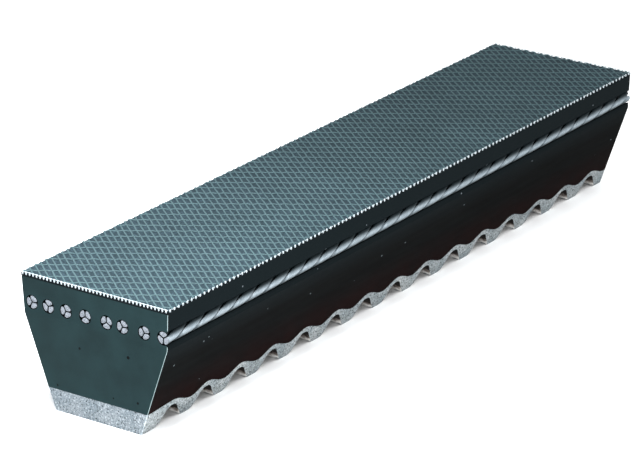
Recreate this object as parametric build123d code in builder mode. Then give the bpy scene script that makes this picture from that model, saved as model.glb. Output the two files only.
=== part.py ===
"""A straight cut sample of a raw-edge, notched V-belt, in millimetres.

X runs along the belt from the near cut to the far cut, Y runs across it and Z runs up from
the crests of the notches to the fabric on the belt's back. The origin is the middle of the
underside. The edge cord, which the cutting blade laid open, is on the -Y flank.
"""

import os
from math import cos, floor, radians, sin, tan

from build123d import *

# Belt section (narrow wedge section with a 40 degree V)
top_width = 13.0
belt_height = 10.0
sample_length = 60.0
flank_angle = 20.0  # of each flank, from the vertical, below the cord layer
relief_angle = 3.0  # of each side, from the vertical, beside and above the cords

# Fabric on the back: a rubber skim with two layers of yarn that cross on the bias
skim_thickness = 0.2
yarn_thickness = 0.1
yarn_width = 0.13
warp_pitch = 0.46
weft_pitch = 1.1
warp_angle = -39.0  # from the belt's length to the line square across the warp
weft_angle = 33.0  # the same for the weft
yarn_corner_room = 0.25  # yarns nearer than this to a corner of the back are left out

# Rubber above the notched layer
overcord_thickness = 1.0
gum_over_cord = 0.265
gum_under_cord = 0.365

# Tension cords: each is three plies, twisted to the left
cord_radius = 0.475
channel_clearance = 0.06  # between a cord and the gum around it
cord_pitch = 1.66
far_edge_rubber = 0.25  # least rubber between the last cord and the +Y side
cord_lay = 6.0  # length of one full turn
ply_gap = 0.1
ply_corner_radius = 0.16
ply_core_radius = 0.05
mouth_angle = 60.0  # half the angle over which the edge cord shows in the -Y side
cord_wander = (0.0, 0.0, 0.24, 0.0, 0.22, 0.28, 0.2, 0.0)  # off the even pitch, from the edge cord
cord_turn = (-30.0, 0.0, 0.0, 30.0, 30.0, 0.0, -20.0, 0.0)  # degrees at the near cut

# Notched layer
cog_pitch = 3.9
first_crest = 1.75  # from the near cut to the first notch
least_last_crest = 0.9  # from the last notch to the far cut
notch_depth = 1.38
near_wall_angle = 62.0  # of a notch's wall nearer the near cut, from the belt's length
far_wall_angle = 54.0
root_flat = 0.86  # between the two walls, before the root is rounded
root_radius = 0.62
soft_crest_radius = 0.7
sharp_crest_radius = 0.2
root_cover = 0.42  # notched layer left above a notch's root
crest_cover = 1.2  # thickness of the notched layer at the bond's troughs
near_cut_cover = 1.65  # its thickness at the near cut
trough_lag = 2.2  # from a peak of the bond line to the trough after it

# Levels and places that follow from those sizes
near_cut = -sample_length / 2
far_cut = sample_length / 2
skim_base = belt_height - 2 * yarn_thickness - skim_thickness
warp_base = skim_base + skim_thickness
weft_base = warp_base + yarn_thickness
overcord_base = skim_base - overcord_thickness
channel_radius = cord_radius + channel_clearance
cord_level = overcord_base - gum_over_cord - channel_radius
kink_level = cord_level - channel_radius - gum_under_cord
edge_cord_y = cord_radius - top_width / 2
root_start = notch_depth / tan(radians(near_wall_angle))
root_end = root_start + root_flat
notch_mouth = root_end + notch_depth / tan(radians(far_wall_angle))
bond_peak = notch_depth + root_cover

os.makedirs("parts", exist_ok=True)


def half_width(level):
    """Half the belt's width at a height above the crests."""
    if level >= kink_level:
        return top_width / 2 - (belt_height - level) * tan(radians(relief_angle))
    return half_width(kink_level) - (kink_level - level) * tan(radians(flank_angle))


def draw_layer(base, top):
    """Draw the section of one flat layer, in a YZ sketch."""
    low, high = half_width(base), half_width(top)
    Polygon((-low, base), (low, base), (high, top), (-high, top), align=None)


def save(piece, name):
    """Label one finished piece and write it."""
    piece.label = name
    export_step(piece, f"parts/{name}.step")


# Cords: the first one lies open in the -Y side, the others follow at an even pitch
last_cord_y = half_width(cord_level) - far_edge_rubber - cord_radius
cord_count = floor((last_cord_y - edge_cord_y) / cord_pitch) + 1
cord_places = []
for index in range(cord_count):
    wander = cord_wander[index % len(cord_wander)]
    cord_places.append(min(edge_cord_y + index * cord_pitch + wander, last_cord_y))

# Notches: as many as fit with a crest left beside each cut
room_for_notches = sample_length - first_crest - notch_mouth - least_last_crest
notch_count = floor(room_for_notches / cog_pitch) + 1
notch_starts = [near_cut + first_crest + index * cog_pitch for index in range(notch_count)]
bond_peaks = [start + (root_start + root_end) / 2 for start in notch_starts]


# Fabric skim: the rubber sheet that binds the yarns to the belt's back
with BuildPart() as fabric_skim:
    with BuildSketch(Plane.YZ.offset(near_cut)):
        draw_layer(skim_base, warp_base)
    extrude(amount=sample_length)
save(fabric_skim.part, "fabric_skim")


def make_yarns(angle, pitch, base):
    """Make one layer of parallel yarns, trimmed to the belt's outline."""
    across, along = abs(sin(radians(angle))), cos(radians(angle))
    reach = sample_length / 2 * along + top_width / 2 * across - yarn_corner_room
    count = floor(2 * reach / pitch) + 1
    offsets = [(index - (count - 1) / 2) * pitch for index in range(count)]
    yarn_length = 2 * top_width / along + 2 * top_width / across
    with BuildPart() as yarns:
        with BuildSketch(Plane.XY.offset(base)):
            with Locations(Location((0, 0), angle)):
                with Locations([(offset, offset * tan(radians(-angle))) for offset in offsets]):
                    Rectangle(yarn_width, yarn_length)
        extrude(amount=yarn_thickness)
        with BuildSketch(Plane.YZ.offset(near_cut)):
            draw_layer(base, base + yarn_thickness)
        extrude(amount=sample_length, mode=Mode.INTERSECT)
    return yarns.part


save(make_yarns(warp_angle, warp_pitch, warp_base), "fabric_warp_yarns")
save(make_yarns(weft_angle, weft_pitch, weft_base), "fabric_weft_yarns")

# Overcord rubber: the plain layer between the fabric and the adhesion gum
with BuildPart() as overcord_rubber:
    with BuildSketch(Plane.YZ.offset(near_cut)):
        draw_layer(overcord_base, skim_base)
    extrude(amount=sample_length)
save(overcord_rubber.part, "overcord_rubber")


def make_gum(base, top):
    """Make one of the two gum sheets that meet on the cords' centre plane."""
    reach = 2 * channel_radius
    mouth_rise = reach * tan(radians(mouth_angle))
    with BuildPart() as gum:
        with BuildSketch(Plane.YZ.offset(near_cut)):
            draw_layer(base, top)
            with Locations([(place, cord_level) for place in cord_places]):
                Circle(channel_radius, mode=Mode.SUBTRACT)
            with BuildLine():
                Polyline(
                    (edge_cord_y, cord_level),
                    (edge_cord_y - reach, cord_level - mouth_rise),
                    (edge_cord_y - reach, cord_level + mouth_rise),
                    close=True,
                )
            make_face(mode=Mode.SUBTRACT)
        extrude(amount=sample_length)
    return gum.part


save(make_gum(cord_level, overcord_base), "adhesion_gum_upper")
save(make_gum(kink_level, cord_level), "adhesion_gum_lower")


def make_ply(cord_y, turn):
    """Make one ply of a cord: a rounded third of a circle, twisted along the cord."""
    start = Vector(near_cut, cord_y, cord_level)
    facing = (0, cos(radians(turn)), sin(radians(turn)))
    inset = ply_gap / 2 / sin(radians(60))
    reach = 2 * cord_radius
    with BuildPart() as ply:
        with BuildSketch(Plane(origin=start, x_dir=facing, z_dir=(1, 0, 0))) as section:
            Circle(cord_radius)
            with BuildLine():
                Polyline(
                    (inset, 0),
                    (inset + reach * cos(radians(60)), reach * sin(radians(60))),
                    (inset + reach, 0),
                    (inset + reach * cos(radians(60)), -reach * sin(radians(60))),
                    close=True,
                )
            make_face(mode=Mode.INTERSECT)
            fillet(section.vertices().group_by(Axis.X)[-1], ply_corner_radius)
            fillet(section.vertices().group_by(Axis.X)[0], ply_core_radius)
        with BuildLine() as centre:
            Line(start, start + (sample_length, 0, 0))
        with BuildLine() as guide:
            Helix(cord_lay, sample_length, 1, center=start, direction=(1, 0, 0), lefthand=True)
        sweep(section.sketch, path=centre.line, binormal=guide.edge())
    return ply.part


for number, cord_y in enumerate(cord_places, start=1):
    first_turn = cord_turn[(number - 1) % len(cord_turn)]
    for step, letter in enumerate("abc"):
        save(make_ply(cord_y, first_turn + 120 * step), f"cord_{number}_ply_{letter}")


def draw_bond():
    """Draw the wavy bond line between undercord and notched layer, and give its two ends."""
    start = here = Vector(near_cut, near_cut_cover)
    for peak in bond_peaks:
        trough = Vector(peak + trough_lag, crest_cover)
        for level_point in (Vector(peak, bond_peak), trough):
            ease = Vector((level_point.X - here.X) / 2, 0)
            Bezier(here, here + ease, level_point - ease, level_point)
            here = level_point
    end = Vector(max(here.X, far_cut) + cog_pitch, crest_cover)
    Line(here, end)
    return start, end


# Undercord rubber: the dark body below the cords, down to the wavy bond
with BuildPart() as undercord_rubber:
    with BuildSketch(Plane.XZ):
        with BuildLine():
            start, end = draw_bond()
            Polyline(end, (end.X, kink_level), (start.X, kink_level), start)
        make_face()
    extrude(amount=top_width, both=True)
    with BuildSketch(Plane.YZ.offset(near_cut)):
        draw_layer(0, kink_level)
    extrude(amount=sample_length, mode=Mode.INTERSECT)
save(undercord_rubber.part, "undercord_rubber")

# Notched layer: the pale, fibre-filled rubber that follows the bond and carries the cogs
with BuildPart() as cog_layer:
    with BuildSketch(Plane.XZ) as outline:
        with BuildLine():
            start, end = draw_bond()
            Line(end, (end.X, 0))
            here = (end.X, 0)
            for notch in reversed(notch_starts):
                Polyline(
                    here,
                    (notch + notch_mouth, 0),
                    (notch + root_end, notch_depth),
                    (notch + root_start, notch_depth),
                    (notch, 0),
                )
                here = (notch, 0)
            Polyline(here, (start.X, 0), start)
        make_face()
        roots = outline.vertices().filter_by(lambda corner: abs(corner.Y - notch_depth) < 1e-6)
        fillet(roots, root_radius)
        crests = outline.vertices().group_by(Axis.Y)[0].sort_by(Axis.X)[1:-1]
        fillet(crests[0::2], soft_crest_radius)
        crests = outline.vertices().group_by(Axis.Y)[0].sort_by(Axis.X)[1:-1]
        fillet(crests[1::2], sharp_crest_radius)
    extrude(amount=top_width, both=True)
    with BuildSketch(Plane.YZ.offset(near_cut)):
        draw_layer(0, kink_level)
    extrude(amount=sample_length, mode=Mode.INTERSECT)
save(cog_layer.part, "cog_layer")
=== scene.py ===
# %% [markdown]
# # A cut length of notched V-belt
#
# The object is a 60 mm sample of a raw-edge V-belt, cut square at both ends so that its layers
# show: a bias fabric on the back, dark rubber with eight twisted cords in it, and a pale,
# speckled layer underneath that is moulded into cogs. The frame already holds every piece at
# its real size. This lesson gives each piece a finer mesh and a finish, and then lights it.

# %% Load the frame
import math

import bmesh
import bpy
from mathutils import Matrix, Vector


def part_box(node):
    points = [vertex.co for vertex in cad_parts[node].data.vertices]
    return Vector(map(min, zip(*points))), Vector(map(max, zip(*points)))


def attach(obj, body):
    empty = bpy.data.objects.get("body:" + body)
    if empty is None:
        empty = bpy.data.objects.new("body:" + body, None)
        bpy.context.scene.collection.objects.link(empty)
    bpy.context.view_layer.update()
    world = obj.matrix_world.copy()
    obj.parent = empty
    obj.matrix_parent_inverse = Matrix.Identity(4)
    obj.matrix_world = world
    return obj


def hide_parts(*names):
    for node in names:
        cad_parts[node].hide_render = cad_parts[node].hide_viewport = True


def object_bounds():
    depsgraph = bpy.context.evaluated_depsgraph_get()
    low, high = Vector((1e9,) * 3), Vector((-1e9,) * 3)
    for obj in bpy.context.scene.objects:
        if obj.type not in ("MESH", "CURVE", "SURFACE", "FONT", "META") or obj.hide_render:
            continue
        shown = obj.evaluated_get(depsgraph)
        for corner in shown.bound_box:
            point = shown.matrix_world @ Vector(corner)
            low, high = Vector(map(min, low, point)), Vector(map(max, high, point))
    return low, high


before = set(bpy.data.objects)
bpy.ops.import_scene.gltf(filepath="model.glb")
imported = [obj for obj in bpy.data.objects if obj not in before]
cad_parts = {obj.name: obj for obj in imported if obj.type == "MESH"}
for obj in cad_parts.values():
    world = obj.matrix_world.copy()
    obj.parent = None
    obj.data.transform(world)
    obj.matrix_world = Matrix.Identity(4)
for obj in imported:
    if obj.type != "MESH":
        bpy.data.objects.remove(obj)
cad_low, cad_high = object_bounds()
MM = 0.001
near_cut, far_cut = cad_low.x, cad_high.x
back_level = cad_high.z
length = far_cut - near_cut
print("sample, in mm:", [round(side / MM, 2) for side in cad_high - cad_low])

# %% [markdown]
# ## Levels of the layers
#
# Every layer is flat on the belt, so a few heights describe the whole stack. They are read from
# the frame's boxes and not typed in, so a layer can't drift off its neighbour. The sides lean in
# by a few degrees beside the cords, and by 20 degrees below them, where they wedge in a pulley.

# %% Read the levels and the width at any height
gum_low, gum_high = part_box("adhesion_gum_upper")
skim_low, skim_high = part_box("fabric_skim")
kink_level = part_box("undercord_rubber")[1].z
cord_level = gum_low.z
FLANK_LEAN = math.tan(math.radians(20))
SIDE_LEAN = math.tan(math.radians(3))
back_half_width = cad_high.y
kink_half_width = back_half_width - (back_level - kink_level) * SIDE_LEAN


def half_width(level):
    """Half the belt's width at a height."""
    if level >= kink_level:
        return back_half_width - (back_level - level) * SIDE_LEAN
    return kink_half_width - (kink_level - level) * FLANK_LEAN


print("kink at", round(kink_level / MM, 2), "mm, cords at", round(cord_level / MM, 2), "mm")

# %% [markdown]
# ## One helper for shader nodes
#
# A material is a small graph. One function adds a node with its own settings, the values on its
# sockets and the links into it, so each finish below reads as a list of steps. Colours are given
# as sRGB hex, as a paint chart does, and turned to the linear values that the shader needs.

# %% Colours and nodes
def linear(hex_colour):
    """Turn an sRGB hex colour into linear RGBA."""
    parts = [int(hex_colour[i : i + 2], 16) / 255 for i in (1, 3, 5)]
    return [p / 12.92 if p <= 0.04045 else ((p + 0.055) / 1.055) ** 2.4 for p in parts] + [1]


def add(tree, kind, values=None, links=None, **settings):
    """Add a shader node with its settings, its sockets' values and the links into it."""
    made = tree.nodes.new(kind)
    for name, value in settings.items():
        setattr(made, name, value)
    for socket, value in (values or {}).items():
        made.inputs[socket].default_value = value
    for socket, source in (links or {}).items():
        tree.links.new(source, made.inputs[socket])
    return made


def new_material(name):
    """Start a material, and give its tree and its Principled shader."""
    material = bpy.data.materials.new(name)
    material.use_nodes = True
    tree = material.node_tree
    return material, tree, tree.nodes["Principled BSDF"]


def ramp(tree, source, stops):
    """Add a colour ramp of (place, hex colour) stops, driven by source."""
    made = add(tree, "ShaderNodeValToRGB", links={"Fac": source})
    elements = made.color_ramp.elements
    while len(elements) < len(stops):
        elements.new(0.5)
    for element, (place, colour) in zip(elements, stops):
        element.position = place
        element.color = linear(colour)
    return made.outputs["Color"]


def mix(tree, factor, first, second, blend="MIX"):
    """Mix two colours, each a socket or a hex colour, by a socket or a number."""
    made = add(tree, "ShaderNodeMix", data_type="RGBA", blend_type=blend)
    for index, value in ((0, factor), (6, first), (7, second)):
        if isinstance(value, str):
            made.inputs[index].default_value = linear(value)
        elif isinstance(value, (int, float)):
            made.inputs[index].default_value = value
        else:
            tree.links.new(value, made.inputs[index])
    return made.outputs[2]


print("mid grey", [round(part, 3) for part in linear("#808080")])

# %% [markdown]
# ## The rubber of the body
#
# The body is chloroprene rubber filled with carbon black. The knife leaves the cut ends matt,
# with a green-grey bloom, a few pinholes and the pale tips of chopped fibre. Where a cut meets a
# side, the thin arris is painted pale: a painted highlight along the edge. Both are one function with other
# numbers.

# %% Cut rubber
def spots(tree, cells, channel, size, above):
    """Mask of round spots, in the cells of a Voronoi texture whose colour channel is above a value."""
    near = add(tree, "ShaderNodeMath", {1: size}, {0: cells.outputs["Distance"]}, operation="LESS_THAN")
    kind = add(tree, "ShaderNodeSeparateColor", links={"Color": cells.outputs["Color"]})
    chosen = add(
        tree, "ShaderNodeMath", {1: above}, {0: kind.outputs[channel]}, operation="GREATER_THAN"
    )
    both = {0: near.outputs[0], 1: chosen.outputs[0]}
    return add(tree, "ShaderNodeMath", links=both, operation="MULTIPLY").outputs[0]


def rubber(name, shade, patch, fleck, pinhole, fleck_size, rough):
    """Carbon-black rubber: two tones in soft patches, pale flecks, dark pinholes and a grain."""
    material, tree, shader = new_material(name)
    place = add(tree, "ShaderNodeTexCoord").outputs["Object"]
    patches = add(tree, "ShaderNodeTexNoise", {"Scale": 1 / (2.5 * MM), "Detail": 4}, {"Vector": place})
    colour = ramp(tree, patches.outputs["Fac"], [(0.35, shade), (0.68, patch)])
    cells = add(tree, "ShaderNodeTexVoronoi", {"Scale": 1 / fleck_size}, {"Vector": place})
    colour = mix(tree, spots(tree, cells, "Red", 0.18, 0.93), colour, fleck)
    colour = mix(tree, spots(tree, cells, "Green", 0.34, 0.975), colour, pinhole)
    tree.links.new(colour, shader.inputs["Base Color"])
    grain = add(tree, "ShaderNodeTexNoise", {"Scale": 1 / (0.09 * MM), "Detail": 3}, {"Vector": place})
    gloss = add(
        tree,
        "ShaderNodeMapRange",
        {"From Min": 0.3, "From Max": 0.7, "To Min": rough - 0.08, "To Max": rough + 0.08},
        {"Value": patches.outputs["Fac"]},
    )
    tree.links.new(gloss.outputs["Result"], shader.inputs["Roughness"])
    bump = add(
        tree, "ShaderNodeBump", {"Strength": 0.35, "Distance": 0.02 * MM}, {"Height": grain.outputs["Fac"]}
    )
    tree.links.new(bump.outputs["Normal"], shader.inputs["Normal"])
    shader.inputs["IOR"].default_value = 1.52
    shader.inputs["Specular IOR Level"].default_value = 0.03
    return material


cut_rubber = rubber(
    "chloroprene_knife_cut", "#162426", "#1c2c2e", "#3d5356", "#060a0b", 0.36 * MM, 0.75
)
# Pale arris: a painted highlight along the edges where a cut meets a side.
arris_painted_highlight = rubber(
    "chloroprene_arris_painted_highlight", "#6b7e80", "#8c9c9d", "#b4bfbf", "#4d5d5e", 0.1 * MM, 0.8
)
print("cut finishes:", cut_rubber.name, arris_painted_highlight.name)

# %% [markdown]
# ## Ground flanks
#
# The flanks were ground after cutting, which smears the rubber along the belt. They are painted
# nearly black and hardly shine, far darker than the cut ends of the same rubber: painted shade for
# sides turned away from the light. Beside the cords a slate-grey tint is a painted sheen, and towards
# the cogs the rubber runs out a little brown. Both tints depend on the height in the belt, which the Object
# coordinates give.

# %% Ground rubber
def height_share(tree, place, none_at, full_at):
    """How far a surface point has come from one height towards another, from 0 to 1."""
    parts = add(tree, "ShaderNodeSeparateXYZ", links={"Vector": place})
    share = add(
        tree, "ShaderNodeMapRange", {"From Min": none_at, "From Max": full_at}, {"Value": parts.outputs["Z"]}
    )
    return share.outputs["Result"]


ground_rubber_painted_shade, tree, shader = new_material("chloroprene_ground_flank_painted_shade")
place = add(tree, "ShaderNodeTexCoord").outputs["Object"]
smeared = add(tree, "ShaderNodeMapping", {"Scale": (0.1, 1, 1)}, {"Vector": place}).outputs["Vector"]
smear = add(tree, "ShaderNodeTexNoise", {"Scale": 1 / (0.4 * MM), "Detail": 5}, {"Vector": smeared})
# Nearly black: painted shade, much darker than the cut ends of the same rubber.
colour = ramp(tree, smear.outputs["Fac"], [(0.35, "#050606"), (0.7, "#090b0b")])
# Painted sheen: a slate-grey tint from below the kink up to the cords and above them.
painted_sheen_share = height_share(tree, place, kink_level - 1.6 * MM, cord_level)
colour = mix(tree, painted_sheen_share, colour, "#0f1517")
blotches = add(tree, "ShaderNodeTexNoise", {"Scale": 1 / (1.5 * MM), "Detail": 4}, {"Vector": place})
brown = add(
    tree,
    "ShaderNodeMath",
    links={0: height_share(tree, place, 4.2 * MM, 1.6 * MM), 1: blotches.outputs["Fac"]},
    operation="MULTIPLY",
)
colour = mix(tree, brown.outputs[0], colour, "#190908")
crumbs = add(tree, "ShaderNodeTexVoronoi", {"Scale": 1 / (0.5 * MM)}, {"Vector": place})
colour = mix(tree, spots(tree, crumbs, "Red", 0.13, 0.95), colour, "#5d6468")
tree.links.new(colour, shader.inputs["Base Color"])
bump = add(
    tree, "ShaderNodeBump", {"Strength": 0.3, "Distance": 0.02 * MM}, {"Height": smear.outputs["Fac"]}
)
tree.links.new(bump.outputs["Normal"], shader.inputs["Normal"])
shader.inputs["Roughness"].default_value = 0.7
shader.inputs["IOR"].default_value = 1.52
shader.inputs["Specular IOR Level"].default_value = 0.01
print("flank finish:", ground_rubber_painted_shade.name)

# %% [markdown]
# ## From a section to a layer
#
# Overcord, gum and fabric skim all have one section from cut to cut. So each starts as one flat
# face in the section plane, which extrude draws out along the belt. The four corner edges, where
# a side meets a cut, are bevelled by a few hundredths of a millimetre: no real edge is sharper,
# and the bevel is the face that the pale arris finish, a painted highlight, goes on.

# %% Section helpers
ARRIS = 0.03 * MM
CUT, EDGE = 1, 2  # places in a piece's list of finishes; 0 is its outer sides


def finish_mesh(name, mesh_data, finishes, node_names, smooth_angle=30):
    """Turn a bmesh into a piece of the belt that stands for its CAD nodes."""
    bmesh.ops.recalc_face_normals(mesh_data, faces=mesh_data.faces)
    mesh = bpy.data.meshes.new(name)
    mesh_data.to_mesh(mesh)
    mesh_data.free()
    piece = bpy.data.objects.new(name, mesh)
    bpy.context.scene.collection.objects.link(piece)
    for finish in finishes:
        mesh.materials.append(finish)
    mesh.shade_smooth()
    mesh.set_sharp_from_angle(angle=math.radians(smooth_angle))
    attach(piece, "root")
    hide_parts(*node_names)
    print(name, len(mesh.polygons), "faces")


def draw_out(mesh_data, section):
    """Extrude a section face from the near cut to the far cut."""
    drawn = bmesh.ops.extrude_face_region(mesh_data, geom=[section])
    ends = [item for item in drawn["geom"] if isinstance(item, bmesh.types.BMVert)]
    bmesh.ops.translate(mesh_data, verts=ends, vec=(length, 0, 0))
    bmesh.ops.recalc_face_normals(mesh_data, faces=mesh_data.faces)


def at_cut(place):
    """Whether a point lies in one of the two cuts."""
    return min(abs(place.x - near_cut), abs(place.x - far_cut)) < 0.001 * MM


def at_side(place):
    """Whether a point lies on one of the two outer sides."""
    return abs(abs(place.y) - half_width(place.z)) < 0.003 * MM


def soften(mesh_data, edges, width=ARRIS, segments=2):
    """Bevel edges, and put the arris finish, a painted highlight, on the new faces."""
    made = bmesh.ops.bevel(
        mesh_data,
        geom=edges,
        offset=width,
        offset_type="OFFSET",
        segments=segments,
        profile=0.5,
        affect="EDGES",
        material=-1,
    )
    for face in made["faces"]:
        face.material_index = EDGE


def sort_finishes(mesh_data):
    """Put the cut finish on the faces that lie in the two cuts."""
    for face in mesh_data.faces:
        if at_cut(face.calc_center_median()):
            face.material_index = CUT


def corner_edges(mesh_data):
    """The upright edges where an outer side meets a cut."""
    return [
        edge
        for edge in mesh_data.edges
        if all(at_cut(end.co) and at_side(end.co) for end in edge.verts)
        and abs(edge.verts[0].co.z - edge.verts[1].co.z) > 0.02 * MM
    ]


def section_face(mesh_data, points):
    """Make the section face in the near cut from (across, level) points."""
    corners = [mesh_data.verts.new((near_cut, across, level)) for across, level in points]
    return mesh_data.faces.new(corners)


print("arris width", round(ARRIS / MM, 3), "mm")

# %% [markdown]
# ## Overcord rubber
#
# This is the plain strip between the fabric and the cords. Its section is a slightly tapered
# rectangle, so four corners are all it takes.

# %% Make the overcord
overcord_low, overcord_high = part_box("overcord_rubber")


def layer_corners(base, top):
    """The four corners of one flat layer's section."""
    low, high = half_width(base), half_width(top)
    return [(-low, base), (low, base), (high, top), (-high, top)]


strip = bmesh.new()
draw_out(strip, section_face(strip, layer_corners(overcord_low.z, overcord_high.z)))
sort_finishes(strip)
soften(strip, corner_edges(strip))
body_finishes = [ground_rubber_painted_shade, cut_rubber, arris_painted_highlight]
finish_mesh("overcord", strip, body_finishes, ["overcord_rubber"])

# %% [markdown]
# ## Where the cords lie
#
# Eight cords run side by side. They never sit at an even pitch in a real belt, because the gum
# flows as it cures, so their places are read from the frame. The first cord was cut into when
# the belt was slit, and lies open in the side.

# %% Read the cords
cord_count = sum(1 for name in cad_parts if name.startswith("cord_") and name.endswith("ply_a"))
cords = []
for number in range(1, cord_count + 1):
    boxes = [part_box(f"cord_{number}_ply_{letter}") for letter in "abc"]
    lowest = min(low.y for low, high in boxes)
    highest = max(high.y for low, high in boxes)
    cords.append(Vector((near_cut, (lowest + highest) / 2, cord_level)))
cord_radius = (highest - lowest) / 2
CHANNEL_ROOM = 0.06 * MM
channel_radius = cord_radius + CHANNEL_ROOM
print(cord_count, "cords of radius", round(cord_radius / MM, 3), "mm")

# %% [markdown]
# ## Adhesion gum
#
# Two sheets of soft gum are pressed together round the cords, and each keeps half of every
# channel. The section's outline runs along the meeting plane and dips into a half circle at each
# cord. At the open cord the gum is torn back to a flared mouth, which is what lets a band of the
# cord show in the side.

# %% Make the two gum sheets
MOUTH_ANGLE = math.radians(60)
ARC_STEPS = 20


def gum_outline(outer_level, up):
    """Section of a gum sheet: up is 1 for the sheet above the cords and -1 for the one below."""
    points = []
    open_cord = cords[0]
    start = math.pi - MOUTH_ANGLE
    side_reach = half_width(cord_level) + open_cord.y
    mouth_rise = side_reach * math.tan(MOUTH_ANGLE)
    mouth_level = cord_level + up * mouth_rise
    points.append((-half_width(mouth_level), mouth_level))
    for cord in cords:
        for step in range(ARC_STEPS + 1):
            angle = start * (1 - step / ARC_STEPS)
            across = cord.y + channel_radius * math.cos(angle)
            points.append((across, cord_level + up * channel_radius * math.sin(angle)))
        start = math.pi
    points.append((half_width(cord_level), cord_level))
    points.append((half_width(outer_level), outer_level))
    points.append((-half_width(outer_level), outer_level))
    return points


for name, outer, up in (
    ("adhesion_gum_upper", gum_high.z, 1),
    ("adhesion_gum_lower", kink_level, -1),
):
    sheet = bmesh.new()
    draw_out(sheet, section_face(sheet, gum_outline(outer, up)))
    sort_finishes(sheet)
    soften(sheet, corner_edges(sheet))
    finish_mesh(name.replace("adhesion_", "cord_"), sheet, body_finishes, [name])

# %% [markdown]
# ## The bond line and the notches
#
# The pale layer was moulded against a toothed drum. Its underside follows the teeth: a gentle
# wall, a rounded root, a steep wall and a fairly crisp crest. The bond above it only rises and
# falls with them, quickly before each root and slowly after it. Both lines depend on the distance
# along the belt alone, so each is one small function.

# %% Shape of the bond and of the notches
COG_PITCH = 3.9 * MM
FIRST_CREST = 1.75 * MM
NOTCH_DEPTH = 1.38 * MM
NEAR_WALL = NOTCH_DEPTH / math.tan(math.radians(62))
FAR_WALL = NOTCH_DEPTH / math.tan(math.radians(54))
ROOT_FLAT = 0.86 * MM
NOTCH_MOUTH = NEAR_WALL + ROOT_FLAT + FAR_WALL
LAST_CREST = 0.9 * MM
CREST_COVER = 1.2 * MM
BOND_PEAK = NOTCH_DEPTH + 0.42 * MM
NEAR_COVER = 1.65 * MM
TROUGH_LAG = 2.2 * MM
notch_count = math.floor((length - FIRST_CREST - NOTCH_MOUTH - LAST_CREST) / COG_PITCH) + 1
notch_starts = [near_cut + FIRST_CREST + index * COG_PITCH for index in range(notch_count)]
first_peak = notch_starts[0] + NEAR_WALL + ROOT_FLAT / 2
last_peak = notch_starts[-1] + NEAR_WALL + ROOT_FLAT / 2


def ease(share, start, end):
    """Go from start to end along a curve that is level at both."""
    share = min(max(share, 0), 1)
    return start + (end - start) * share * share * (3 - 2 * share)


def bond_level(along):
    """Height of the bond between the undercord and the pale layer."""
    if along < first_peak:
        return ease((along - near_cut) / (first_peak - near_cut), NEAR_COVER, BOND_PEAK)
    past_peak = along - last_peak if along > last_peak else (along - first_peak) % COG_PITCH
    if past_peak < TROUGH_LAG or along > last_peak:
        return ease(past_peak / TROUGH_LAG, BOND_PEAK, CREST_COVER)
    return ease((past_peak - TROUGH_LAG) / (COG_PITCH - TROUGH_LAG), CREST_COVER, BOND_PEAK)


print(notch_count, "notches, bond from", CREST_COVER / MM, "to", round(BOND_PEAK / MM, 2), "mm")

# %% [markdown]
# ## Undercord rubber
#
# The undercord is the biggest block of rubber, flat above and wavy below. A grid one cell wide
# and many cells long is bent to the bond line, its rims are set to the flanks' width, and then
# the whole sheet is extruded up and flattened at the kink.

# %% Make the undercord
WAVE_STEP = 0.1 * MM
wave_steps = round(length / WAVE_STEP)


def wave_sheet(mesh_data):
    """A sheet on the bond line, from cut to cut and from flank to flank."""
    bmesh.ops.create_grid(mesh_data, x_segments=wave_steps, y_segments=1, size=0.5)
    for corner in mesh_data.verts:
        along = near_cut + (corner.co.x + 0.5) * length
        level = bond_level(along)
        side = 1 if corner.co.y > 0 else -1
        corner.co = (along, side * half_width(level), level)


block = bmesh.new()
wave_sheet(block)
raised = bmesh.ops.extrude_face_region(block, geom=list(block.faces))
for item in raised["geom"]:
    if isinstance(item, bmesh.types.BMVert):
        side = 1 if item.co.y > 0 else -1
        item.co = (item.co.x, side * kink_half_width, kink_level)
bmesh.ops.recalc_face_normals(block, faces=block.faces)
sort_finishes(block)
soften(block, corner_edges(block))
finish_mesh("undercord", block, body_finishes, ["undercord_rubber"], 40)

# %% [markdown]
# ## The compound of the cogs
#
# The cogs are a stiffer rubber, filled pale and loaded with chopped fibre. Cut or ground, the
# filler and the fibre ends look like fine granite: pale blue-grey with dark and light grains a
# tenth of a millimetre across.

# %% Speckled finishes
GRAIN = 0.13 * MM


def speckled(name, dark, base, light, rough):
    """Fibre-filled rubber: grains of three tones over soft patches, with a little relief."""
    material, tree, shader = new_material(name)
    place = add(tree, "ShaderNodeTexCoord").outputs["Object"]
    fine = add(
        tree, "ShaderNodeTexNoise", {"Scale": 1 / GRAIN, "Detail": 2, "Roughness": 0.6}, {"Vector": place}
    )
    colour = ramp(tree, fine.outputs["Fac"], [(0.34, dark), (0.43, base), (0.56, base), (0.66, light)])
    soft = add(tree, "ShaderNodeTexNoise", {"Scale": 1 / (1.6 * MM), "Detail": 3}, {"Vector": place})
    shade = ramp(tree, soft.outputs["Fac"], [(0.3, "#ccd4d8"), (0.7, "#ffffff")])
    colour = mix(tree, 1.0, colour, shade, "MULTIPLY")
    cells = add(tree, "ShaderNodeTexVoronoi", {"Scale": 1 / (0.19 * MM)}, {"Vector": place})
    colour = mix(tree, spots(tree, cells, "Red", 0.28, 0.55), colour, "#1d2224")
    tree.links.new(colour, shader.inputs["Base Color"])
    bump = add(
        tree, "ShaderNodeBump", {"Strength": 0.4, "Distance": 0.02 * MM}, {"Height": fine.outputs["Fac"]}
    )
    tree.links.new(bump.outputs["Normal"], shader.inputs["Normal"])
    shader.inputs["Roughness"].default_value = rough
    shader.inputs["Specular IOR Level"].default_value = 0.06
    return material


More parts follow.
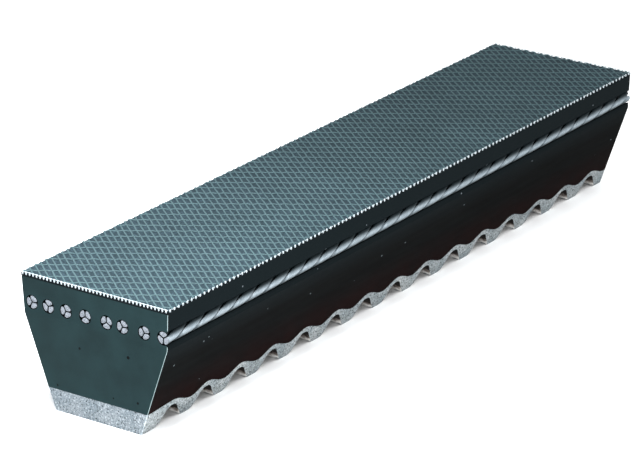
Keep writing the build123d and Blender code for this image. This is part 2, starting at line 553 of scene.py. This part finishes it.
# The ground flanks are painted lighter than the cut faces of the same compound: painted light that makes up
# for the shade at their foot.
cog_ground_painted_light = speckled("fibre_rubber_ground_painted_light", "#4a4e50", "#909596", "#babebf", 0.75)
cog_cut = speckled("fibre_rubber_knife_cut", "#404649", "#787f84", "#a4aaae", 0.8)
# The arris is paler than the cut: a painted highlight along the cog edges.
cog_arris_painted_highlight = speckled("fibre_rubber_arris_painted_highlight", "#828d94", "#aab4ba", "#ccd2d6", 0.8)
print("grain", GRAIN / MM, "mm")

# %% [markdown]
# ## The moulded walls of the notches
#
# The drum's teeth leave the notch walls smooth. Their colour is painted light and shade over the
# height: grey at the crests themselves, almost white just above them as painted light, and dark deep
# in the roots as painted shade. One ramp over the height, broken up by a little noise, gives
# that.

# %% Notch walls with painted light and shade
notch_painted_shade, tree, shader = new_material("fibre_rubber_notch_painted_shade")
place = add(tree, "ShaderNodeTexCoord").outputs["Object"]
cloud = add(tree, "ShaderNodeTexNoise", {"Scale": 1 / (0.35 * MM), "Detail": 4}, {"Vector": place})
drift = add(
    tree,
    "ShaderNodeMapRange",
    {"From Min": 0.3, "From Max": 0.7, "To Min": -0.1, "To Max": 0.1},
    {"Value": cloud.outputs["Fac"]},
)
painted_shade_height = add(
    tree,
    "ShaderNodeMath",
    links={0: height_share(tree, place, 0, NOTCH_DEPTH), 1: drift.outputs["Result"]},
    operation="ADD",
)
# Painted light and shade over the height: grey at the crest, almost white just above it, dark in the roots.
painted_shade_stops = [
    (0.0, "#8f9495"),
    (0.08, "#f0efed"),
    (0.18, "#dedbd7"),
    (0.34, "#7a726c"),
    (0.5, "#241f1d"),
    (0.75, "#0f0d0c"),
]
tree.links.new(ramp(tree, painted_shade_height.outputs[0], painted_shade_stops), shader.inputs["Base Color"])
bump = add(
    tree, "ShaderNodeBump", {"Strength": 0.3, "Distance": 0.02 * MM}, {"Height": cloud.outputs["Fac"]}
)
tree.links.new(bump.outputs["Normal"], shader.inputs["Normal"])
shader.inputs["Roughness"].default_value = 0.85
shader.inputs["Specular IOR Level"].default_value = 0.1
print("notch finish:", notch_painted_shade.name)

# %% [markdown]
# ## The cog layer
#
# The sheet of the underside starts as a strip with one fold per corner of a notch. Bevel rounds
# the folds, each by its own radius: full at the root, soft on one side of a crest and crisp on
# the other. Cutting the strip across every tenth of a millimetre then lets its upper copy follow
# the bond line when it is extruded.

# %% Make the cog layer
ROOT_RADIUS = 0.62 * MM
SOFT_CREST = 0.7 * MM
SHARP_CREST = 0.2 * MM


def underside_folds():
    """The (along, level, radius) corners of the underside, from cut to cut."""
    folds = [(near_cut, 0, 0)]
    for start in notch_starts:
        folds.append((start, 0, SOFT_CREST))
        folds.append((start + NEAR_WALL, NOTCH_DEPTH, ROOT_RADIUS))
        folds.append((start + NEAR_WALL + ROOT_FLAT, NOTCH_DEPTH, ROOT_RADIUS))
        folds.append((start + NOTCH_MOUTH, 0, SHARP_CREST))
    return folds + [(far_cut, 0, 0)]


def turn_at(folds, index):
    """How far the underside turns at a fold, in radians."""
    here, before, after = folds[index], folds[index - 1], folds[index + 1]
    slope_in = math.atan2(here[1] - before[1], here[0] - before[0])
    slope_out = math.atan2(after[1] - here[1], after[0] - here[0])
    return abs(slope_out - slope_in)


cogs = bmesh.new()
folds = underside_folds()
wide = back_half_width
rim = [cogs.verts.new((along, -wide, level)) for along, level, radius in folds]
for before, after in zip(rim, rim[1:]):
    cogs.edges.new((before, after))
widened = bmesh.ops.extrude_edge_only(cogs, edges=list(cogs.edges))
moved = [item for item in widened["geom"] if isinstance(item, bmesh.types.BMVert)]
bmesh.ops.translate(cogs, verts=moved, vec=(0, 2 * wide, 0))
for index in range(1, len(folds) - 1):
    along, level, radius = folds[index]
    crossing = [
        edge
        for edge in cogs.edges
        if all((end.co - Vector((along, end.co.y, level))).length < 0.0001 * MM for end in edge.verts)
    ]
    bmesh.ops.bevel(
        cogs,
        geom=crossing,
        offset=radius * math.tan(turn_at(folds, index) / 2),
        offset_type="OFFSET",
        segments=8 if radius > SHARP_CREST else 4,
        profile=0.5,
        affect="EDGES",
        material=-1,
    )
for step in range(1, wave_steps):
    station = near_cut + step * WAVE_STEP
    everything = cogs.verts[:] + cogs.edges[:] + cogs.faces[:]
    bmesh.ops.bisect_plane(
        cogs, geom=everything, dist=0.002 * MM, plane_co=(station, 0, 0), plane_no=(1, 0, 0)
    )
raised = bmesh.ops.extrude_face_region(cogs, geom=list(cogs.faces))
lifted = {item for item in raised["geom"] if isinstance(item, bmesh.types.BMVert)}
for corner in cogs.verts:
    level = bond_level(corner.co.x) if corner in lifted else corner.co.z
    side = 1 if corner.co.y > 0 else -1
    corner.co = (corner.co.x, side * half_width(level), level)
bmesh.ops.recalc_face_normals(cogs, faces=cogs.faces)
sort_finishes(cogs)
WALL = 3
for face in cogs.faces:
    if face.material_index != CUT and abs(face.normal.y) < 0.5:
        face.material_index = WALL
soften(cogs, corner_edges(cogs), 0.04 * MM)
cog_finishes = [cog_ground_painted_light, cog_cut, cog_arris_painted_highlight, notch_painted_shade]
finish_mesh("cogs", cogs, cog_finishes, ["cog_layer"], 35)

# %% [markdown]
# ## The cord yarn
#
# Each cord is three plies of stretched polyester, twisted together and dipped in a resin and
# latex bath that bonds it to the gum. Where the flank was ground, the outermost filaments of the
# open cord lie bare, pale and a little silky; away from there the dark dip and gum still cover
# them. The band of bare fibre is also painted brightest at the cord's axis and dark towards its
# upper and lower rims: a painted highlight with painted shade, so the open cord reads as round.
# The filaments show as hair lines that cross a ply at an angle. The pattern follows the
# ply through its UV map, which holds distances in millimetres round the ply and along it.

# %% Cord finishes
BARED_DEPTH = 0.2 * MM
COVERED_DEPTH = 0.34 * MM
PAINTED_HIGHLIGHT_HALF_WIDTH = 0.35 * MM
ply_side, tree, shader = new_material("polyester_dipped_ply")
strand = add(tree, "ShaderNodeUVMap", uv_map="strand").outputs["UV"]
hair_lean = {"Rotation": (0, 0, math.radians(24)), "Scale": (1, 0.08, 1)}
slant = add(tree, "ShaderNodeMapping", hair_lean, {"Vector": strand})
hairs = add(tree, "ShaderNodeTexNoise", {"Scale": 26, "Detail": 3}, {"Vector": slant.outputs["Vector"]})
bare = ramp(tree, hairs.outputs["Fac"], [(0.3, "#5e696f"), (0.5, "#7b868d"), (0.72, "#9fa8ad")])
place = add(tree, "ShaderNodeTexCoord").outputs["Object"]
apart = add(tree, "ShaderNodeSeparateXYZ", links={"Vector": place}).outputs
outermost = cords[0].y - cord_radius
open_side = add(
    tree,
    "ShaderNodeMapRange",
    {"From Min": outermost + COVERED_DEPTH, "From Max": outermost + BARED_DEPTH},
    {"Value": apart["Y"]},
)
# Painted highlight: the band is brightest at the cord axis's height and fades above and below it.
above_axis = add(tree, "ShaderNodeMath", {1: cords[0].z}, {0: apart["Z"]}, operation="SUBTRACT")
off_axis = add(tree, "ShaderNodeMath", links={0: above_axis.outputs[0]}, operation="ABSOLUTE")
middle = add(
    tree,
    "ShaderNodeMapRange",
    {"From Min": PAINTED_HIGHLIGHT_HALF_WIDTH, "From Max": 0.0},
    {"Value": off_axis.outputs[0]},
    interpolation_type="SMOOTHSTEP",
)
both = {0: open_side.outputs["Result"], 1: middle.outputs["Result"]}
bared_and_painted_highlight = add(tree, "ShaderNodeMath", links=both, operation="MULTIPLY")
# Dark dip and gum where the fibre is covered, which is also the painted shade at the band's rims.
colour = mix(tree, bared_and_painted_highlight.outputs[0], "#141d20", bare)
tree.links.new(colour, shader.inputs["Base Color"])
bump = add(
    tree, "ShaderNodeBump", {"Strength": 0.5, "Distance": 0.015 * MM}, {"Height": hairs.outputs["Fac"]}
)
tree.links.new(bump.outputs["Normal"], shader.inputs["Normal"])
shader.inputs["Roughness"].default_value = 0.5
shader.inputs["Specular IOR Level"].default_value = 0.1


def cut_filaments(name, shade, dark, light):
    """The cut end of a yarn: thousands of filament tips as a fine pale stipple."""
    material, tree, shader = new_material(name)
    place = add(tree, "ShaderNodeTexCoord").outputs["Object"]
    tips = add(tree, "ShaderNodeTexVoronoi", {"Scale": 1 / (0.05 * MM)}, {"Vector": place})
    colour = ramp(tree, tips.outputs["Distance"], [(0.0, light), (0.45, shade), (0.85, dark)])
    tree.links.new(colour, shader.inputs["Base Color"])
    bump = add(
        tree,
        "ShaderNodeBump",
        {"Strength": 0.5, "Distance": 0.01 * MM},
        {"Height": tips.outputs["Distance"]},
    )
    tree.links.new(bump.outputs["Normal"], shader.inputs["Normal"])
    shader.inputs["Roughness"].default_value = 0.85
    shader.inputs["Specular IOR Level"].default_value = 0.2
    return material


ply_end = cut_filaments("polyester_cut_ply", "#747980", "#50555c", "#949aa2")
print("cord finishes:", ply_side.name, ply_end.name)

# %% [markdown]
# ## Twisted plies
#
# A ply's section is a third of a circle with its corners well rounded, because the three plies
# press each other flat where they meet. A kite of four points with rounded corners is exactly
# that shape. Spin turns that one face round the cord's axis while it moves along the belt, which
# is how the ply lies. The twist is to the left, with a full turn every 6 mm. The cut tips are
# bevelled, as a blade leaves them.

# %% Section of a ply
CORD_LAY = 6 * MM
PLY_GAP = 0.1 * MM
PLY_CORNER = 0.16 * MM
PLY_CORE = 0.05 * MM
THIRD = math.radians(60)
STEPS_PER_TURN = 22
turns = length / CORD_LAY
CORD_TURN = (-30, 0, 0, 30, 30, 0, -20, 0)
rim_half = THIRD - math.asin((PLY_CORNER + PLY_GAP / 2) / (cord_radius - PLY_CORNER))
corner_cut = PLY_CORNER * math.tan((math.radians(150) - rim_half) / 2)


def ply_section(mesh_data, centre, turn):
    """The rounded third of a circle, in the near cut, facing the given way."""
    tip = cord_radius * math.cos(rim_half) - corner_cut * math.sin(rim_half)
    wing = cord_radius * math.sin(rim_half) + corner_cut * math.cos(rim_half)
    core = PLY_GAP / 2 / math.sin(THIRD)
    kite = [(core, 0), (tip, -wing), (cord_radius / math.cos(rim_half), 0), (tip, wing)]
    corners = [mesh_data.verts.new((0, across, up)) for across, up in kite]
    mesh_data.faces.new(corners)
    rim_cut = cord_radius * math.tan(rim_half)
    roundings = ((corners[2], rim_cut, 2), (corners[1], corner_cut, 5), (corners[3], corner_cut, 5))
    for corner, cut, segments in (*roundings, (corners[0], PLY_CORE / math.tan(THIRD), 2)):
        bmesh.ops.bevel(
            mesh_data,
            geom=[corner],
            offset=cut * 0.98,
            offset_type="OFFSET",
            segments=segments,
            profile=0.5,
            affect="VERTICES",
            material=-1,
        )
    bmesh.ops.rotate(mesh_data, verts=mesh_data.verts, cent=(0, 0, 0), matrix=Matrix.Rotation(turn, 3, "X"))
    bmesh.ops.translate(mesh_data, verts=mesh_data.verts, vec=centre)


def map_strand(mesh_data, centre, turn):
    """Write millimetres round and along the ply into its UV map."""
    layer = mesh_data.loops.layers.uv.new("strand")
    for face in mesh_data.faces:
        for loop in face.loops:
            offset = loop.vert.co - centre
            untwisted = math.atan2(offset.z, offset.y) - turn + 2 * math.pi * offset.x / CORD_LAY
            round_ply = math.remainder(untwisted, 2 * math.pi) * cord_radius / MM
            loop[layer].uv = (round_ply, offset.x / MM)


print("rim of a ply spans", round(math.degrees(2 * rim_half)), "degrees before its corners")

# %% Make the plies
for number, centre in enumerate(cords, start=1):
    for step, letter in enumerate("abc"):
        ply = bmesh.new()
        turn = math.radians(CORD_TURN[(number - 1) % len(CORD_TURN)] + 120 * step)
        ply_section(ply, centre, turn)
        rings = round(turns * STEPS_PER_TURN)
        bmesh.ops.spin(
            ply,
            geom=ply.verts[:] + ply.edges[:] + ply.faces[:],
            cent=centre,
            axis=(1, 0, 0),
            dvec=(length / rings, 0, 0),
            angle=-2 * math.pi * turns,
            steps=rings,
        )
        bmesh.ops.recalc_face_normals(ply, faces=ply.faces)
        map_strand(ply, centre, turn)
        for face in ply.faces:
            face.material_index = 1 if all(at_cut(corner.co) for corner in face.verts) else 0
        tip_edges = {edge for face in ply.faces if face.material_index == 1 for edge in face.edges}
        bmesh.ops.bevel(
            ply,
            geom=list(tip_edges),
            offset=0.02 * MM,
            offset_type="OFFSET",
            segments=1,
            profile=0.5,
            affect="EDGES",
            material=-1,
        )
        node_name = f"cord_{number}_ply_{letter}"
        finish_mesh(f"cord_{number}_strand_{letter}", ply, [ply_side, ply_end], [node_name], 50)

# %% [markdown]
# ## The bias fabric
#
# The back is an open cloth of thin yarns, cut on the bias so that it bends with the belt. It is
# spread with rubber, which fills the cells and leaves the yarns as fine raised lines. The yarns
# weave over and under each other. A yarn is drawn as a curve with a round bevel, flattened, and
# trimmed by the planes of the two cuts and the two sides. The cloth's cells were coloured darker
# than its yarns, and the cut yarn ends flare a little and stay almost white.

# %% Fabric finishes
def cover(name, shade, patch, speck, grain, rough, relief):
    """Rubber-coated cloth: two teal tones, a stipple of the rubber's grain and soft relief."""
    material, tree, shader = new_material(name)
    place = add(tree, "ShaderNodeTexCoord").outputs["Object"]
    wide_patches = add(tree, "ShaderNodeTexNoise", {"Scale": 1 / (6 * MM), "Detail": 4}, {"Vector": place})
    colour = ramp(tree, wide_patches.outputs["Fac"], [(0.3, shade), (0.7, patch)])
    fine = add(tree, "ShaderNodeTexNoise", {"Scale": 1 / grain, "Detail": 3}, {"Vector": place})
    stipple = add(
        tree, "ShaderNodeMapRange", {"From Min": 0.45, "From Max": 0.75}, {"Value": fine.outputs["Fac"]}
    )
    colour = mix(tree, stipple.outputs["Result"], colour, speck)
    tree.links.new(colour, shader.inputs["Base Color"])
    bump = add(tree, "ShaderNodeBump", {"Strength": 0.4, "Distance": relief}, {"Height": fine.outputs["Fac"]})
    tree.links.new(bump.outputs["Normal"], shader.inputs["Normal"])
    shader.inputs["Roughness"].default_value = rough
    shader.inputs["Specular IOR Level"].default_value = 0.02
    return material


skim_finish = cover("chloroprene_calendered_skim", "#1b2529", "#202b30", "#2c3a41", 0.14 * MM, 0.6, 0.02 * MM)
yarn_finish = cover("cotton_polyester_rubberised", "#313f42", "#394a4d", "#495a5e", 0.07 * MM, 0.7, 0.02 * MM)
yarn_end = cut_filaments("cotton_polyester_cut_end", "#a9b2b6", "#7b858a", "#cfd6d9")
print("fabric finishes:", skim_finish.name, yarn_finish.name, yarn_end.name)

# %% [markdown]
# ## The weave as a formula
#
# Any point of the cloth has two counts: how many warp yarns and how many weft yarns it lies from
# the middle. Half a turn of a cosine per yarn crossed gives the over and under, and a warp yarn
# that goes over where a weft yarn goes under needs only the opposite sign.

# %% Weave helpers
WARP_PITCH, WARP_ANGLE = 0.46 * MM, math.radians(-39)
WEFT_PITCH, WEFT_ANGLE = 1.1 * MM, math.radians(33)
YARN_WIDTH = 0.13 * MM
YARN_HEIGHT = 0.1 * MM
CORNER_ROOM = 0.25 * MM
SWING = 0.02 * MM
weave_level = (back_level + skim_high.z) / 2


def yarn_offsets(angle, pitch):
    """Distances of one family's yarns from the middle of the back."""
    reach = length / 2 * math.cos(angle) + back_half_width * abs(math.sin(angle)) - CORNER_ROOM
    count = math.floor(2 * reach / pitch) + 1
    return [(index - (count - 1) / 2) * pitch for index in range(count)]


warp_offsets = yarn_offsets(WARP_ANGLE, WARP_PITCH)
weft_offsets = yarn_offsets(WEFT_ANGLE, WEFT_PITCH)


def count_across(along, across, angle, pitch, offsets):
    """How many yarns of a family lie between its first yarn and a point."""
    return (along * math.cos(angle) + across * math.sin(angle) - offsets[0]) / pitch


print(len(warp_offsets), "warp yarns and", len(weft_offsets), "weft yarns")

# %% Make the yarns
CROSSING = abs(math.sin(WARP_ANGLE - WEFT_ANGLE))


def yarn_curves(name, angle, offsets, other_angle, other_pitch, other_offsets):
    """One family of yarns as a mesh of round tubes that go over and under the other family."""
    curve = bpy.data.curves.new(name, "CURVE")
    curve.dimensions = "3D"
    curve.bevel_depth = YARN_WIDTH / 2
    curve.bevel_resolution = 1
    normal = Vector((math.cos(angle), math.sin(angle), 0))
    run = Vector((-math.sin(angle), math.cos(angle), 0))
    crossing_step = other_pitch / CROSSING
    half_run = back_half_width / math.cos(angle) + 1 * MM
    stations = math.ceil(2 * half_run / (crossing_step / 4))
    flatten = YARN_HEIGHT / YARN_WIDTH
    for index, offset in enumerate(offsets):
        middle = normal * offset - run * offset * math.tan(angle)
        spline = curve.splines.new("POLY")
        spline.points.add(stations)
        for station, point in enumerate(spline.points):
            place = middle + run * half_run * (2 * station / stations - 1)
            crossed = count_across(place.x, place.y, other_angle, other_pitch, other_offsets)
            wave = math.cos(math.pi * (crossed + index))
            point.co = (place.x, place.y, wave * SWING / flatten, 1)
    holder = bpy.data.objects.new(name, curve)
    bpy.context.scene.collection.objects.link(holder)
    bpy.context.view_layer.update()
    mesh = bpy.data.meshes.new_from_object(holder)
    bpy.data.objects.remove(holder)
    bpy.data.curves.remove(curve)
    yarns = bmesh.new()
    yarns.from_mesh(mesh)
    bpy.data.meshes.remove(mesh)
    return yarns, flatten


def trim_yarns(yarns):
    """Cut the yarns at the two cuts and the two sides, and close their ends."""
    side_normal = Vector((0, 1, -SIDE_LEAN)).normalized()
    planes = [
        (Vector((near_cut, 0, 0)), Vector((-1, 0, 0))),
        (Vector((far_cut, 0, 0)), Vector((1, 0, 0))),
        (Vector((0, back_half_width, back_level)), side_normal),
        (Vector((0, -back_half_width, back_level)), Vector((0, -side_normal.y, side_normal.z))),
    ]
    for point, outward in planes:
        trimmed = bmesh.ops.bisect_plane(
            yarns,
            geom=yarns.verts[:] + yarns.edges[:] + yarns.faces[:],
            dist=0.0005 * MM,
            plane_co=point,
            plane_no=outward,
            clear_outer=True,
        )
        rims = [item for item in trimmed["geom_cut"] if isinstance(item, bmesh.types.BMEdge)]
        filled = bmesh.ops.holes_fill(yarns, edges=rims, sides=0)
        for face in filled["faces"]:
            face.material_index = 1


CUT_TUFT_PITCH = 0.317 * MM
SIDE_TUFT_PITCH = 0.48 * MM


def add_tufts(yarns):
    """Let the cut yarns stand out all round the cloth as a row of pale tufts."""
    places = []
    half = half_width(back_level)
    count = round(2 * half / CUT_TUFT_PITCH)
    for index in range(count):
        across = -half + (index + 0.5) * 2 * half / count
        for end in (near_cut, far_cut):
            places.append((end, across, -0.15 * MM, (0.045, 0.08, 0.13)))
            places.append((end, across, -0.04 * MM, (0.04, 0.19, 0.035)))
    count = round(length / SIDE_TUFT_PITCH)
    for index in range(count):
        along = near_cut + (index + 0.5) * length / count
        places += [(along, side * half, -0.14 * MM, (0.1, 0.04, 0.12)) for side in (-1, 1)]
    for along, across, drop, size in places:
        level = back_level + drop
        tuft = bmesh.ops.create_icosphere(
            yarns,
            subdivisions=1,
            radius=MM,
            matrix=Matrix.LocRotScale(Vector((along, across, level)), None, Vector(size)),
        )
        for face in {face for corner in tuft["verts"] for face in corner.link_faces}:
            face.material_index = 1
    print(len(places), "tufts")


for name, sign, angle, offsets, others in (
    ("fabric_warp_yarns", 1, WARP_ANGLE, warp_offsets, (WEFT_ANGLE, WEFT_PITCH, weft_offsets)),
    ("fabric_weft_yarns", -1, WEFT_ANGLE, weft_offsets, (WARP_ANGLE, WARP_PITCH, warp_offsets)),
):
    yarns, flatten = yarn_curves(name + "_curve", angle, offsets, *others)
    for corner in yarns.verts:
        corner.co.z = weave_level + sign * corner.co.z * flatten
    bmesh.ops.recalc_face_normals(yarns, faces=yarns.faces)
    trim_yarns(yarns)
    if sign > 0:
        add_tufts(yarns)
    finish_mesh(name.replace("_yarns", "_weave"), yarns, [yarn_finish, yarn_end], [name], 60)

# %% [markdown]
# ## The skim between the yarns
#
# The rubber is pressed through the cloth, so it is lowest in the middle of each cell and climbs
# to the yarns. A fine grid is lifted by that rule and then extruded down to the flat underside
# of the fabric.

# %% Make the skim
CELL_LEVEL = skim_high.z + 0.08 * MM
CLIMB = 0.02 * MM
SKIM_STEP = 0.12 * MM


def skim_level(along, across):
    """Height of the rubber: it climbs towards the nearest yarn of either family."""
    warp_count = count_across(along, across, WARP_ANGLE, WARP_PITCH, warp_offsets)
    weft_count = count_across(along, across, WEFT_ANGLE, WEFT_PITCH, weft_offsets)
    to_warp = abs(warp_count - round(warp_count)) * WARP_PITCH
    to_weft = abs(weft_count - round(weft_count)) * WEFT_PITCH
    closeness = math.exp(-((min(to_warp, to_weft) / (0.09 * MM)) ** 2))
    return CELL_LEVEL + CLIMB * closeness


skim = bmesh.new()
columns, rows = round(length / SKIM_STEP), round(2 * back_half_width / SKIM_STEP)
bmesh.ops.create_grid(skim, x_segments=columns, y_segments=rows, size=0.5)
for corner in skim.verts:
    along = near_cut + (corner.co.x + 0.5) * length
    across = 2 * corner.co.y * half_width(CELL_LEVEL)
    corner.co = (along, across, skim_level(along, across))
lowered = bmesh.ops.extrude_face_region(skim, geom=list(skim.faces))
for item in lowered["geom"]:
    if isinstance(item, bmesh.types.BMVert):
        share = item.co.y / half_width(CELL_LEVEL)
        item.co = (item.co.x, share * half_width(skim_low.z), skim_low.z)
bmesh.ops.recalc_face_normals(skim, faces=skim.faces)
for face in skim.faces:
    face.material_index = 0 if abs(face.normal.z) > 0.5 else 1
bottom = [
    face
    for face in skim.faces
    if face.normal.z < -0.9 and face.calc_center_median().z < skim_low.z + 0.01 * MM
]
bmesh.ops.dissolve_faces(skim, faces=bottom)
finish_mesh("fabric_cover_rubber", skim, [skim_finish, ground_rubber_painted_shade], ["fabric_skim"], 60)

# %% [markdown]
# ## Floor, light and camera
#
# The sample lies on a plain, nearly white table. A broad sky lights everything softly. A small
# softbox close over the near end brightens the back there, so that it falls off along the belt,
# and a second one high in front clears the shadow at the foot of the cogs. The leaning flank turns
# away from both and stays nearly black. The camera is a long way off with a long lens, 36 degrees
# off the belt's length and 21 degrees above it, so the belt keeps its width to the far end.

# %% Set the stage
floor_mesh = bmesh.new()
bmesh.ops.create_grid(floor_mesh, x_segments=4, y_segments=4, size=3)
floor_data = bpy.data.meshes.new("table_top")
floor_mesh.to_mesh(floor_data)
floor_mesh.free()
floor = bpy.data.objects.new("table_top", floor_data)
bpy.context.scene.collection.objects.link(floor)
table_paint, table_tree, table_shader = new_material("table_matt_lacquer")
table_place = add(table_tree, "ShaderNodeTexCoord").outputs["Object"]
table_grain = add(table_tree, "ShaderNodeTexNoise", {"Scale": 40, "Detail": 3}, {"Vector": table_place})
table_colour = ramp(table_tree, table_grain.outputs["Fac"], [(0.3, "#f8f9f9"), (0.7, "#fbfbfb")])
table_tree.links.new(table_colour, table_shader.inputs["Base Color"])
table_shader.inputs["Roughness"].default_value = 0.9
table_shader.inputs["Specular IOR Level"].default_value = 0.1
floor_data.materials.append(table_paint)

scene = bpy.context.scene
scene.view_settings.view_transform = "Standard"
world = bpy.data.worlds.new("soft_sky")
scene.world = world
world.use_nodes = True
sky = world.node_tree.nodes["Background"]
sky.inputs["Color"].default_value = linear("#fbfdff")
sky.inputs["Strength"].default_value = 1.2


def lamp(name, place, aim, size, power, colour):
    """A square softbox at a place, turned to its aim; places and sizes in millimetres."""
    light = bpy.data.lights.new(name, "AREA")
    light.size = size * MM
    light.energy = power
    light.color = linear(colour)[:3]
    holder = bpy.data.objects.new(name, light)
    holder.location = Vector(place) * MM
    towards = (Vector(aim) - Vector(place)).normalized()
    holder.rotation_mode = "QUATERNION"
    holder.rotation_quaternion = towards.to_track_quat("-Z", "Y")
    scene.collection.objects.link(holder)


lamp("lamp_over_near_end", (-34, -3, 43), (-29, -3, 10), 26, 0.066, "#fbfdff")
lamp("lamp_over_front", (0, -75, 120), (0, -12, 0), 60, 0.1, "#ffffff")

# %% Place the camera
camera_data = bpy.data.cameras.new("camera")
camera = bpy.data.objects.new("camera", camera_data)
scene.collection.objects.link(camera)
scene.camera = camera
OFF_LENGTH, ABOVE = math.radians(36.1), math.radians(21.25)
ROLL = math.radians(-0.8)
aim = Vector((-1.25, 1.6, 5.0)) * MM
backward = Vector(
    (-math.cos(OFF_LENGTH) * math.cos(ABOVE), -math.sin(OFF_LENGTH) * math.cos(ABOVE), math.sin(ABOVE))
)
camera.location = aim + backward * 283.5 * MM
camera.rotation_mode = "QUATERNION"
level_view = (-backward).to_track_quat("-Z", "Y")
camera.rotation_quaternion = level_view @ Matrix.Rotation(ROLL, 3, "Z").to_quaternion()
camera_data.lens = 212
camera_data.clip_start, camera_data.clip_end = 0.01, 10
print("camera", [round(part / MM, 1) for part in camera.location])
